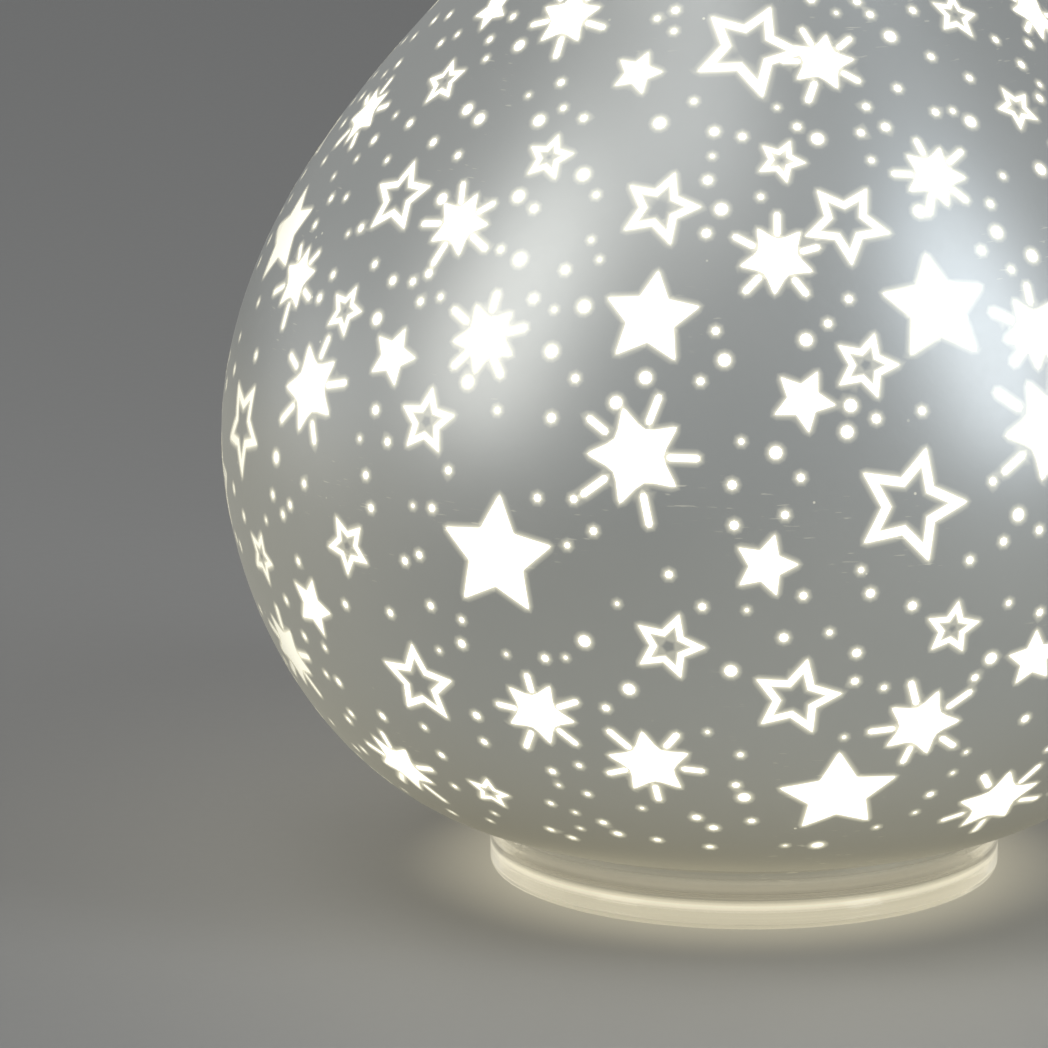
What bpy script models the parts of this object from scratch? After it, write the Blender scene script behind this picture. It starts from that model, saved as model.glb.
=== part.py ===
"""Battery-powered glass drop lamp: a drop of blown glass over a plug-in light unit."""
import math

import bmesh
import bpy
from mathutils import Matrix, Vector

MM = 0.001

# Glass drop, outside
GLASS_RADIUS = 90 * MM
GLASS_HEIGHT = 240 * MM
WIDEST_Z = 75.5 * MM
COLLAR_RADIUS = 44 * MM
COLLAR_TOP_Z = 9.3 * MM
BELLY_FOOT_RADIUS = 43.5 * MM
BELLY_FOOT_Z = 11 * MM
BELLY_FULLNESS = 1.85
TAPER_RADIUS = 42 * MM
TAPER_Z = 162.5 * MM
TIP_RADIUS = 5.5 * MM
TIP_START_Z = 232 * MM
# how far each curve runs on straight from its ends, and the taper's direction
WIDEST_HANDLE = 42 * MM
TAPER_HANDLE_DOWN = 18 * MM
TAPER_HANDLE_UP = 27 * MM
TAPER_DIRECTION = (-0.6, 0.8)
TIP_HANDLE = (3 * MM, -21 * MM)

# Glass drop, inside
GLASS_WALL = 2.6 * MM
RIM_ROUND = 1.1 * MM
COLLAR_BORE = 41 * MM
SHOULDER_LOW_Z = 6 * MM
SHOULDER_TOP_Z = 9 * MM
THROAT_RADIUS = 38.5 * MM
THROAT_TOP_Z = 12.4 * MM
THROAT_EASE = (1.5 * MM, 1.2 * MM)
HOLLOW_TOP_Z = 218 * MM
HOLLOW_LEAST_RADIUS = 2 * MM
HOLLOW_CAP = 3 * MM
GLASS_SEGMENTS = 48

# Light unit
GAP = 0.3 * MM
UNIT_BOTTOM_Z = 2.5 * MM
FLOOR_THICKNESS = 2.2 * MM
FLOOR_TOP_Z = UNIT_BOTTOM_Z + FLOOR_THICKNESS
FLANGE_RADIUS = 40.4 * MM
CUP_RADIUS = 37.8 * MM
CUP_WALL = 2 * MM
CUP_TOP_Z = 27 * MM
COVER_THICKNESS = 2 * MM
COVER_BOTTOM_Z = CUP_TOP_Z + GAP
COVER_TOP_Z = COVER_BOTTOM_Z + COVER_THICKNESS
COVER_RADIUS = 37.4 * MM
BOSS_RING = 33 * MM
BOSS_RADIUS = 3.2 * MM
BOSS_BORE = 1.1 * MM
BOSS_BORE_DEPTH = 9 * MM
BOSS_ANGLES = (55, 125, 270)
COVER_LIP_WIDTH = 1.6 * MM
COVER_LIP_HEIGHT = 2.4 * MM
COVER_SCREW = dict(head_radius=2.3 * MM, head_height=1.7 * MM, shank_radius=0.8 * MM, length=9 * MM)
DIFFUSER_RADIUS = 30 * MM
DIFFUSER_WALL = 1.6 * MM
DIFFUSER_SPRING_Z = 41 * MM
DIFFUSER_TOP_Z = 68 * MM

# Battery bay, cells along X
CELL_RADIUS = 5.25 * MM
CELL_BODY = 43.3 * MM
CELL_NUB = 1.2 * MM
CELL_PITCH = 11.4 * MM
CELL_AXIS_Z = FLOOR_TOP_Z + CELL_RADIUS + 0.6 * MM
BAY_HALF_X = 25.75 * MM
BAY_HALF_Y = 17.6 * MM
BAY_TOP_Z = CELL_AXIS_Z + CELL_RADIUS + 0.6 * MM
TRAY_WALL = 1.6 * MM
TRAY_TOP_Z = BAY_TOP_Z + TRAY_WALL
PLATE = 0.5 * MM

# Battery door and its hinge
DOOR_THICKNESS = 1.8 * MM
DOOR_HALF_Y = 17 * MM
DOOR_EDGE_X = 25.4 * MM
HINGE_X = -27 * MM
HINGE_Z = UNIT_BOTTOM_Z + 0.2 * MM + DOOR_THICKNESS / 2
HINGE_RADIUS = DOOR_THICKNESS / 2

# Slide switch, moving along X
SWITCH_Y = 26.5 * MM
SWITCH_TRAVEL = 4 * MM
SWITCH_BODY_HALF = (7 * MM, 3.4 * MM)
SWITCH_BODY_HEIGHT = 5 * MM
KNOB_SIZE = 3 * MM
KNOB_CLEARANCE = 0.5 * MM

# Boards
LED_BOARD_RADIUS = 23.5 * MM
LED_BOARD_THICKNESS = 1.6 * MM
LED_BOARD_Z = COVER_TOP_Z + 2.2 * MM
LED_COUNT = 6
LED_RING = 14 * MM
LED_RADIUS = 2.4 * MM
LED_FLANGE_RADIUS = 2.9 * MM
LED_FLANGE_HEIGHT = 1 * MM
LED_DOME_Z = 4.2 * MM
BOARD_POST_X = 17 * MM
BOARD_POST_RADIUS = 2.4 * MM
BOARD_SCREW = dict(head_radius=2 * MM, head_height=1.3 * MM, shank_radius=0.6 * MM, length=4.6 * MM)
CONTROL_BOARD_Z = TRAY_TOP_Z + 1.8 * MM
CONTROL_BOARD_THICKNESS = 1.2 * MM
CONTROL_BOARD_Y = -2 * MM
CONTROL_BOARD_HALF = (14 * MM, 7 * MM)
CONTROL_POST_X = 9 * MM
CONTROL_POST_RADIUS = 1.6 * MM
LEAD_HOLE_Y = -8 * MM
LEAD_HOLE_RADIUS = 3 * MM

WIRE_RADIUS = 0.6 * MM


def clear_scene():
    for thing in list(bpy.data.objects):
        bpy.data.objects.remove(thing, do_unlink=True)


def new_collection(name):
    collection = bpy.data.collections.new(name)
    bpy.context.scene.collection.children.link(collection)
    return collection


def new_material(name, colour, roughness=0.5, metallic=0.0, transmission=0.0, glow=0.0):
    material = bpy.data.materials.new(name)
    material.use_nodes = True
    shader = material.node_tree.nodes["Principled BSDF"]
    shader.inputs["Base Color"].default_value = (*colour, 1)
    shader.inputs["Roughness"].default_value = roughness
    shader.inputs["Metallic"].default_value = metallic
    shader.inputs["Transmission Weight"].default_value = transmission
    shader.inputs["Emission Color"].default_value = (*colour, 1)
    shader.inputs["Emission Strength"].default_value = glow
    return material


def add_object(name, data, material=None, collection=None):
    thing = bpy.data.objects.new(name, data)
    (collection or lamp).objects.link(thing)
    if material:
        data.materials.append(material)
    return thing


def as_cutter(thing):
    thing.hide_render = True
    thing.display_type = "WIRE"
    return thing


def mesh_from(name, build):
    mesh = bpy.data.meshes.new(name)
    work = bmesh.new()
    build(work)
    bmesh.ops.recalc_face_normals(work, faces=work.faces)
    work.to_mesh(mesh)
    work.free()
    return mesh


def block(name, low, high, material=None, bevel=0.0, collection=None):
    """A box between two corners, its origin at its centre, with optional rounded edges."""
    low, high = Vector(low), Vector(high)

    def build(work):
        bmesh.ops.create_cube(work, size=1)
        bmesh.ops.scale(work, vec=high - low, verts=work.verts)

    thing = add_object(name, mesh_from(name, build), material, collection)
    thing.location = (low + high) / 2
    if bevel:
        rounding = thing.modifiers.new("Rounded edges", "BEVEL")
        rounding.width = bevel
        rounding.segments = 2
    return thing


def peg(name, radius, base, height, material=None, segments=16, collection=None):
    """An upright cylinder standing on base."""
    def build(work):
        bmesh.ops.create_cone(work, cap_ends=True, segments=segments, radius1=radius,
                              radius2=radius, depth=height)

    thing = add_object(name, mesh_from(name, build), material, collection)
    thing.location = Vector(base) + Vector((0, 0, height / 2))
    return thing


def turned(name, profile, material=None, segments=24, closed=False, collection=None):
    """Spins a profile in the XZ plane about Z; the profile runs down the outer side first."""
    mesh = bpy.data.meshes.new(name)
    edges = [(i, i + 1) for i in range(len(profile) - 1)]
    if closed:
        edges.append((len(profile) - 1, 0))
    mesh.from_pydata([(r, 0, z) for r, z in profile], edges, [])
    thing = add_object(name, mesh, material, collection)
    spin = thing.modifiers.new("Spin", "SCREW")
    spin.steps = spin.render_steps = segments
    spin.use_merge_vertices = True
    spin.merge_threshold = 0.00001
    spin.use_smooth_shade = True
    return thing


def arc(centre, radius, start, end, count):
    """Points round a centre, from one angle to another, in degrees."""
    for i in range(count + 1):
        angle = math.radians(start + (end - start) * i / count)
        yield centre[0] + radius * math.cos(angle), centre[1] + radius * math.sin(angle)


def bezier(a, b, c, d, count):
    """Points along a cubic curve, without its first one."""
    for i in range(1, count + 1):
        t = i / count
        u = 1 - t
        yield tuple(u ** 3 * a[k] + 3 * u * u * t * b[k] + 3 * u * t * t * c[k] + t ** 3 * d[k]
                    for k in (0, 1))


def wire(name, points, radius, material):
    """A round wire through the points, softened at its bends by a smooth curve."""
    spline_points = smooth_route(points)
    curve = bpy.data.curves.new(name, "CURVE")
    curve.dimensions = "3D"
    curve.bevel_depth = radius
    curve.bevel_resolution = 2
    curve.render_resolution_u = 0
    curve.use_fill_caps = True
    line = curve.splines.new("POLY")
    line.points.add(len(spline_points) - 1)
    for point, place in zip(line.points, spline_points):
        point.co = (*place, 1)
    return add_object(name, curve, material)


def smooth_route(points, steps=4):
    """Catmull-Rom points through a short list of places."""
    places = [Vector(p) for p in points]
    if len(places) > 24:
        return places
    padded = [2 * places[0] - places[1], *places, 2 * places[-1] - places[-2]]
    route = [places[0]]
    for a, b, c, d in zip(padded, padded[1:], padded[2:], padded[3:]):
        for i in range(1, steps + 1):
            t = i / steps
            route.append(0.5 * (2 * b + (c - a) * t + (2 * a - 5 * b + 4 * c - d) * t * t
                                + (3 * b - a - 3 * c + d) * t ** 3))
    return route


def combine(target, other, operation):
    step = target.modifiers.new(operation.title() + " " + other.name, "BOOLEAN")
    step.operation = operation
    step.object = other
    step.solver = "EXACT"


def cut(target, *tools):
    for tool in tools:
        combine(target, as_cutter(tool), "DIFFERENCE")


def join(target, *tools):
    for tool in tools:
        combine(target, as_cutter(tool), "UNION")


def belly_point(angle):
    """A point on the lower half, from the widest ring at 0 degrees to the foot at 90."""
    power = 2 / BELLY_FULLNESS
    across = math.cos(math.radians(angle)) ** power
    down = math.sin(math.radians(angle)) ** power
    return (BELLY_FOOT_RADIUS + (GLASS_RADIUS - BELLY_FOOT_RADIUS) * across,
            WIDEST_Z - (WIDEST_Z - BELLY_FOOT_Z) * down)


def upper_outline():
    """The outer side from the tip's top down to the widest ring."""
    slope = Vector(TAPER_DIRECTION)
    taper = Vector((TAPER_RADIUS, TAPER_Z))
    tip = Vector((TIP_RADIUS, TIP_START_Z))
    low = [(GLASS_RADIUS, WIDEST_Z)]
    low += bezier(low[0], (GLASS_RADIUS, WIDEST_Z + WIDEST_HANDLE),
                  tuple(taper - slope * TAPER_HANDLE_DOWN), tuple(taper), 12)
    low += bezier(tuple(taper), tuple(taper + slope * TAPER_HANDLE_UP),
                  tuple(tip + Vector(TIP_HANDLE)), tuple(tip), 9)
    tip_rise = GLASS_HEIGHT - TIP_START_Z
    for i in range(1, 5):
        angle = math.radians(90 * i / 4)
        low.append((TIP_RADIUS * math.cos(angle), TIP_START_Z + tip_rise * math.sin(angle)))
    low[-1] = (0, GLASS_HEIGHT)
    return low[::-1]


def inset(points, distance):
    """The outline moved inwards, square to its own direction."""
    moved = []
    for before, here, after in zip(points, points[1:], points[2:]):
        along = (Vector(after) - Vector(before)).normalized()
        moved.append(tuple(Vector(here) + Vector((along.y, -along.x)) * distance))
    return moved


def glass_profile():
    outer = upper_outline()
    belly = [belly_point(angle) for angle in (9, 18, 27, 36, 45, 54, 63, 71, 78, 84)]
    collar = [(COLLAR_RADIUS + 0.6 * MM, BELLY_FOOT_Z - 0.5 * MM), (COLLAR_RADIUS, COLLAR_TOP_Z)]
    rim = list(arc((COLLAR_RADIUS - RIM_ROUND, RIM_ROUND), RIM_ROUND, 0, -90, 3))
    rim += arc((COLLAR_BORE + RIM_ROUND, RIM_ROUND), RIM_ROUND, -90, -180, 3)
    bore = [(COLLAR_BORE, SHOULDER_LOW_Z), (THROAT_RADIUS, SHOULDER_TOP_Z),
            (THROAT_RADIUS, THROAT_TOP_Z),
            (THROAT_RADIUS + THROAT_EASE[0], THROAT_TOP_Z + THROAT_EASE[1])]
    inner = inset(outer + belly[:-1], GLASS_WALL)
    hollow = [p for p in inner if p[0] > HOLLOW_LEAST_RADIUS and p[1] < HOLLOW_TOP_Z]
    hollow = hollow[::2] + hollow[-1:]
    apex = (0, hollow[0][1] + HOLLOW_CAP)
    return outer + belly + collar + rim + bore + hollow[::-1] + [apex]


def make_glass():
    return turned("glass_drop", glass_profile(), silver_glass, segments=GLASS_SEGMENTS)


def make_housing():
    flange = [(0, FLOOR_TOP_Z), (CUP_RADIUS - CUP_WALL, FLOOR_TOP_Z),
              (CUP_RADIUS - CUP_WALL, CUP_TOP_Z)]
    outer = [(CUP_RADIUS, CUP_TOP_Z), (CUP_RADIUS, FLOOR_TOP_Z), (FLANGE_RADIUS, FLOOR_TOP_Z),
             (FLANGE_RADIUS, UNIT_BOTTOM_Z + 0.5 * MM), (FLANGE_RADIUS - 0.5 * MM, UNIT_BOTTOM_Z),
             (0, UNIT_BOTTOM_Z)]
    housing = turned("base_housing", flange + outer, white_plastic, segments=GLASS_SEGMENTS)

    tray = block("tray_block", (-BAY_HALF_X - TRAY_WALL, -BAY_HALF_Y - TRAY_WALL, FLOOR_TOP_Z - MM),
                 (BAY_HALF_X + TRAY_WALL, BAY_HALF_Y + TRAY_WALL, TRAY_TOP_Z), collection=cutters)
    join(housing, tray)
    for i, angle in enumerate(BOSS_ANGLES, 1):
        boss = peg(f"boss_{i}", BOSS_RADIUS, (*on_ring(BOSS_RING, angle), FLOOR_TOP_Z - MM),
                   CUP_TOP_Z - FLOOR_TOP_Z + MM - 0.2 * MM, collection=cutters)
        join(housing, boss)
        bore = peg(f"boss_bore_{i}", BOSS_BORE, (*on_ring(BOSS_RING, angle), CUP_TOP_Z - BOSS_BORE_DEPTH),
                   BOSS_BORE_DEPTH + MM, segments=12, collection=cutters)
        cut(housing, bore)
    for i, x in enumerate((-CONTROL_POST_X, CONTROL_POST_X), 1):
        post = peg(f"control_post_{i}", CONTROL_POST_RADIUS, (x, CONTROL_BOARD_Y, TRAY_TOP_Z - 0.5 * MM),
                   CONTROL_BOARD_Z - GAP - TRAY_TOP_Z + 0.5 * MM, segments=12, collection=cutters)
        join(housing, post)

    bay = block("bay_space", (-BAY_HALF_X, -BAY_HALF_Y, 0), (BAY_HALF_X, BAY_HALF_Y, BAY_TOP_Z),
                collection=cutters)
    hinge_slot = block("hinge_slot", (HINGE_X - HINGE_RADIUS - GAP, -DOOR_HALF_Y - 0.6 * MM, 0),
                       (-BAY_HALF_X + MM, DOOR_HALF_Y + 0.6 * MM, FLOOR_TOP_Z + 0.1 * MM),
                       collection=cutters)
    for i, side in enumerate((-1, 1), 1):
        low_y, high_y = sorted((side * (DOOR_HALF_Y - MM), side * (DOOR_HALF_Y + 2.4 * MM)))
        pin_slot = block(f"pin_slot_{i}", (HINGE_X - 0.9 * MM, low_y, 0),
                         (HINGE_X + 0.9 * MM, high_y, HINGE_Z + 0.9 * MM), collection=cutters)
        cut(housing, pin_slot)
    slot_half = KNOB_SIZE / 2 + KNOB_CLEARANCE
    switch_slot = block("switch_slot", (-slot_half, SWITCH_Y - slot_half, 0),
                        (SWITCH_TRAVEL + slot_half, SWITCH_Y + slot_half, FLOOR_TOP_Z + MM),
                        collection=cutters)
    cut(housing, bay, hinge_slot, switch_slot)
    for i, (x, y) in enumerate(terminal_exits(), 1):
        slot = block(f"tab_slot_{i}", (x - 0.6 * MM, y - 1.8 * MM, BAY_TOP_Z - MM),
                     (x + 0.6 * MM, y + 1.8 * MM, TRAY_TOP_Z + MM), collection=cutters)
        cut(housing, slot)
    return housing


def on_ring(radius, angle):
    return radius * math.cos(math.radians(angle)), radius * math.sin(math.radians(angle))


def terminal_exits():
    """Where the two terminal tabs come up through the tray's roof: minus end, then plus end."""
    x = BAY_HALF_X - GAP - PLATE / 2
    return [(-x, -CELL_PITCH), (x, CELL_PITCH)]


def make_seal_ring():
    profile = [(COLLAR_BORE - 0.4 * MM, SHOULDER_LOW_Z), (COLLAR_BORE - 0.4 * MM, FLOOR_TOP_Z + GAP),
               (CUP_RADIUS + GAP, FLOOR_TOP_Z + GAP), (CUP_RADIUS + GAP, SHOULDER_TOP_Z - 0.4 * MM),
               (THROAT_RADIUS - 0.1 * MM, SHOULDER_TOP_Z - 0.4 * MM)]
    return turned("seal_ring", profile, soft_rubber, segments=40, closed=True)


def make_cover():
    inner_rim = DIFFUSER_RADIUS - DIFFUSER_WALL - 0.5 * MM
    lip_inside, lip_top = inner_rim - COVER_LIP_WIDTH, COVER_TOP_Z + COVER_LIP_HEIGHT
    profile = [(0, COVER_TOP_Z), (lip_inside, COVER_TOP_Z), (lip_inside, lip_top), (inner_rim, lip_top),
               (inner_rim, COVER_TOP_Z), (COVER_RADIUS - 0.6 * MM, COVER_TOP_Z),
               (COVER_RADIUS, COVER_TOP_Z - 0.6 * MM), (COVER_RADIUS, COVER_BOTTOM_Z),
               (0, COVER_BOTTOM_Z)]
    cover = turned("top_cover", profile, white_plastic, segments=36)
    for i, x in enumerate((-BOARD_POST_X, BOARD_POST_X), 1):
        post = peg(f"board_post_{i}", BOARD_POST_RADIUS, (x, 0, COVER_TOP_Z - 0.5 * MM),
                   LED_BOARD_Z - GAP - COVER_TOP_Z + 0.5 * MM, collection=cutters)
        join(cover, post)
        cut(cover, peg(f"post_bore_{i}", 0.9 * MM, (x, 0, COVER_BOTTOM_Z + 0.7 * MM), 6 * MM,
                       segments=12, collection=cutters))
    for i, angle in enumerate(BOSS_ANGLES, 1):
        cut(cover, peg(f"cover_hole_{i}", 1.2 * MM, (*on_ring(BOSS_RING, angle), COVER_BOTTOM_Z - MM),
                       5 * MM, segments=14, collection=cutters))
    cut(cover, peg("lead_hole", LEAD_HOLE_RADIUS, (0, LEAD_HOLE_Y, COVER_BOTTOM_Z - MM), 5 * MM,
                   segments=14, collection=cutters))
    return cover


def make_screw(name, top, head_radius, head_height, shank_radius, length):
    """A pan-head screw with a crossed slot; its origin is under its head."""
    round_off = head_height / 3
    profile = [(0, head_height), (head_radius - round_off, head_height),
               (head_radius, head_height - round_off), (head_radius, 0), (shank_radius, 0),
               (shank_radius, shank_radius - length), (0, -length)]
    screw = turned(name, profile, steel, segments=12)
    screw.location = top
    for i, (half_x, half_y) in enumerate(((0.62, 0.12), (0.12, 0.62)), 1):
        low = Vector(top) + Vector((-half_x * head_radius, -half_y * head_radius, head_height * 0.45))
        high = Vector(top) + Vector((half_x * head_radius, half_y * head_radius, head_height * 1.5))
        cut(screw, block(f"{name}_slot_{i}", low, high, collection=cutters))
    return screw


def make_cover_screws():
    for i, angle in enumerate(BOSS_ANGLES, 1):
        make_screw(f"cover_screw_{i}", (*on_ring(BOSS_RING, angle), COVER_TOP_Z + GAP), **COVER_SCREW)


def make_diffuser():
    base_z = COVER_TOP_Z + GAP
    outer = [(0, DIFFUSER_TOP_Z)]
    inner = []
    for angle in (75, 60, 45, 30, 15, 0):
        level = math.radians(angle)
        rise = DIFFUSER_TOP_Z - DIFFUSER_SPRING_Z
        outer.append((DIFFUSER_RADIUS * math.cos(level), DIFFUSER_SPRING_Z + rise * math.sin(level)))
        inner.append(((DIFFUSER_RADIUS - DIFFUSER_WALL) * math.cos(level),
                      DIFFUSER_SPRING_Z + (rise - DIFFUSER_WALL) * math.sin(level)))
    foot = [(DIFFUSER_RADIUS, base_z), (DIFFUSER_RADIUS - DIFFUSER_WALL, base_z)]
    profile = outer + foot + inner[::-1] + [(0, DIFFUSER_TOP_Z - DIFFUSER_WALL)]
    return turned("diffuser_dome", profile, milky_plastic, segments=36)


def make_led_board():
    board = peg("led_board", LED_BOARD_RADIUS, (0, 0, LED_BOARD_Z), LED_BOARD_THICKNESS, white_board,
                segments=36)
    for i, x in enumerate((-BOARD_POST_X, BOARD_POST_X), 1):
        cut(board, peg(f"board_hole_{i}", 1.3 * MM, (x, 0, LED_BOARD_Z - MM), 4 * MM, segments=12,
                       collection=cutters))
        make_screw(f"board_screw_{i}", (x, 0, LED_BOARD_Z + LED_BOARD_THICKNESS + GAP), **BOARD_SCREW)
    return board


def make_leds():
    base_z = LED_BOARD_Z + LED_BOARD_THICKNESS + GAP
    profile = list(arc((0, LED_DOME_Z), LED_RADIUS, 90, 0, 3))
    profile[0] = (0, LED_DOME_Z + LED_RADIUS)
    profile += [(LED_RADIUS, LED_FLANGE_HEIGHT), (LED_FLANGE_RADIUS, LED_FLANGE_HEIGHT),
                (LED_FLANGE_RADIUS, 0), (0, 0)]
    for i in range(LED_COUNT):
        led = turned(f"led_{i + 1}", profile, led_glow, segments=14)
        led.location = (*on_ring(LED_RING, 30 + 360 / LED_COUNT * i), base_z)


def make_battery(number, y, side):
    """One cell; side is 1 where its nub points to +X and -1 where it points to -X."""
    shoulder = CELL_BODY / 2
    half = CELL_RADIUS
    profile = [(0, shoulder + CELL_NUB), (1.7 * MM, shoulder + CELL_NUB),
               (1.9 * MM, shoulder + CELL_NUB - 0.3 * MM), (1.9 * MM, shoulder),
               (half - 0.6 * MM, shoulder), (half, shoulder - 0.6 * MM),
               (half, 0.4 * MM - shoulder), (half - 0.4 * MM, -shoulder), (0, -shoulder)]
    cell = turned(f"battery_{number}", profile, cell_jacket, segments=24)
    cell.rotation_euler = (0, side * math.pi / 2, 0)
    # the nub's face stands a gap off its flat contact
    cell.location = (side * (BAY_HALF_X - 2 * GAP - PLATE - CELL_NUB - shoulder), y, CELL_AXIS_Z)
    return cell


def make_contact_spring(number, y, side):
    """A conical coil between the cell's flat end and its contact plate."""
    cell_end = BAY_HALF_X - 2 * GAP - PLATE - CELL_NUB - CELL_BODY
    plate_face = BAY_HALF_X - GAP - PLATE
    start = -cell_end + GAP + 0.3 * MM
    length = plate_face - GAP - 0.3 * MM - start
    turns, steps = 3.5, 10
    count = int(turns * steps)
    points = []
    for i in range(count + 1):
        share = i / count
        angle = 2 * math.pi * i / steps
        radius = (2 + 1.9 * share) * MM
        points.append((-side * (start + length * share), y + radius * math.cos(angle),
                       CELL_AXIS_Z + radius * math.sin(angle)))
    return wire(f"contact_spring_{number}", points, 0.25 * MM, steel)


def make_battery_contacts():
    outer_x = BAY_HALF_X - GAP
    low_z, high_z = CELL_AXIS_Z - 4 * MM, CELL_AXIS_Z + 4.4 * MM
    half_width = 4.2 * MM

    def plate(name, side, low_y, high_y):
        near, far = sorted((side * outer_x, side * (outer_x - PLATE)))
        return block(name, (near, low_y, low_z), (far, high_y, high_z), nickel)

    plate("bridge_plate_1", 1, -CELL_PITCH - half_width, half_width)
    plate("bridge_plate_2", -1, -half_width, CELL_PITCH + half_width)
    for name, side, y in (("terminal_minus", -1, -CELL_PITCH), ("terminal_plus", 1, CELL_PITCH)):
        terminal = plate(name, side, y - half_width, y + half_width)
        near, far = sorted((side * outer_x, side * (outer_x - PLATE)))
        tab = block(f"{name}_tab", (near, y - 1.2 * MM, high_z - MM),
                    (far, y + 1.2 * MM, TRAY_TOP_Z + 2 * MM), collection=cutters)
        join(terminal, tab)


def make_batteries():
    for number, (y, side) in enumerate(((-CELL_PITCH, 1), (0, -1), (CELL_PITCH, 1)), 1):
        make_battery(number, y, side)
        make_contact_spring(number, y, side)


def make_door():
    """The door plate, its rounded hook edge with two pins, a thumb tab and its parent on the hinge."""
    pivot = bpy.data.objects.new("door_pivot", None)
    pivot.location = (HINGE_X, 0, HINGE_Z)
    lamp.objects.link(pivot)

    low_z, high_z = HINGE_Z - DOOR_THICKNESS / 2, HINGE_Z + DOOR_THICKNESS / 2
    door = block("battery_door", (HINGE_X, -DOOR_HALF_Y, low_z), (DOOR_EDGE_X, DOOR_HALF_Y, high_z),
                 white_plastic)
    barrel = lying_peg("door_barrel", HINGE_RADIUS, 2 * DOOR_HALF_Y)
    pins = lying_peg("door_pins", 0.6 * MM, 2 * (DOOR_HALF_Y + 1.9 * MM))
    join(door, barrel, pins)
    for i, x in enumerate((14, 17, 20), 1):
        cut(door, block(f"grip_groove_{i}", (x * MM, -6 * MM, low_z - MM),
                        ((x + 1.2) * MM, 6 * MM, low_z + 0.5 * MM), collection=cutters))
    door.parent = pivot
    door.matrix_parent_inverse = Matrix.Translation(-pivot.location)
    return door


def lying_peg(name, radius, length):
    """A cylinder along Y on the door's hinge line."""
    thing = peg(name, radius, (0, 0, -length / 2), length, collection=cutters)
    thing.location = (HINGE_X, 0, HINGE_Z)
    thing.rotation_euler = (math.pi / 2, 0, 0)
    return thing


def make_switch():
    x_middle = SWITCH_TRAVEL / 2
    body_low = FLOOR_TOP_Z + GAP
    half_x, half_y = SWITCH_BODY_HALF
    body = block("switch_body", (x_middle - half_x, SWITCH_Y - half_y, body_low),
                 (x_middle + half_x, SWITCH_Y + half_y, body_low + SWITCH_BODY_HEIGHT), steel)
    cut(body, block("slider_space", (-2.3 * MM, SWITCH_Y - 2.3 * MM, 0),
                    (SWITCH_TRAVEL + 2.3 * MM, SWITCH_Y + 2.3 * MM, body_low + 2.6 * MM),
                    collection=cutters))
    knob = block("switch_knob", (-KNOB_SIZE / 2, SWITCH_Y - KNOB_SIZE / 2, UNIT_BOTTOM_Z - 0.7 * MM),
                 (KNOB_SIZE / 2, SWITCH_Y + KNOB_SIZE / 2, body_low + 0.4 * MM), black_plastic)
    shoe = block("knob_shoe", (-1.9 * MM, SWITCH_Y - 2 * MM, body_low + 0.2 * MM),
                 (1.9 * MM, SWITCH_Y + 2 * MM, body_low + 2.2 * MM), collection=cutters)
    join(knob, shoe)
    for i, x in enumerate((-0.6, 0.3), 1):
        cut(knob, block(f"knob_groove_{i}", (x * MM, SWITCH_Y - 3 * MM, 0),
                        ((x + 0.3) * MM, SWITCH_Y + 3 * MM, UNIT_BOTTOM_Z - 0.4 * MM),
                        collection=cutters))
    return knob


def make_control_board():
    low_z = CONTROL_BOARD_Z
    top_z = low_z + CONTROL_BOARD_THICKNESS
    y = CONTROL_BOARD_Y
    half_x, half_y = CONTROL_BOARD_HALF
    block("control_board", (-half_x, y - half_y, low_z), (half_x, y + half_y, top_z), green_board)
    chip_z = top_z + GAP
    block("timer_chip", (-2.5 * MM, y - 2 * MM, chip_z), (2.5 * MM, y + 2 * MM, chip_z + 1.5 * MM),
          black_plastic, bevel=0.15 * MM)
    block("resistor", (5 * MM, y + MM, chip_z), (8.2 * MM, y + 2.6 * MM, chip_z + 0.6 * MM),
          black_plastic)
    can = [(0, 3.6 * MM), (1.7 * MM, 3.6 * MM), (2 * MM, 3.3 * MM), (2 * MM, 0.6 * MM),
           (1.8 * MM, 0.4 * MM), (2 * MM, 0.2 * MM), (2 * MM, 0), (0, 0)]
    capacitor = turned("capacitor", can, aluminium, segments=16)
    capacitor.location = (-8 * MM, y + 2 * MM, chip_z)


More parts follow.
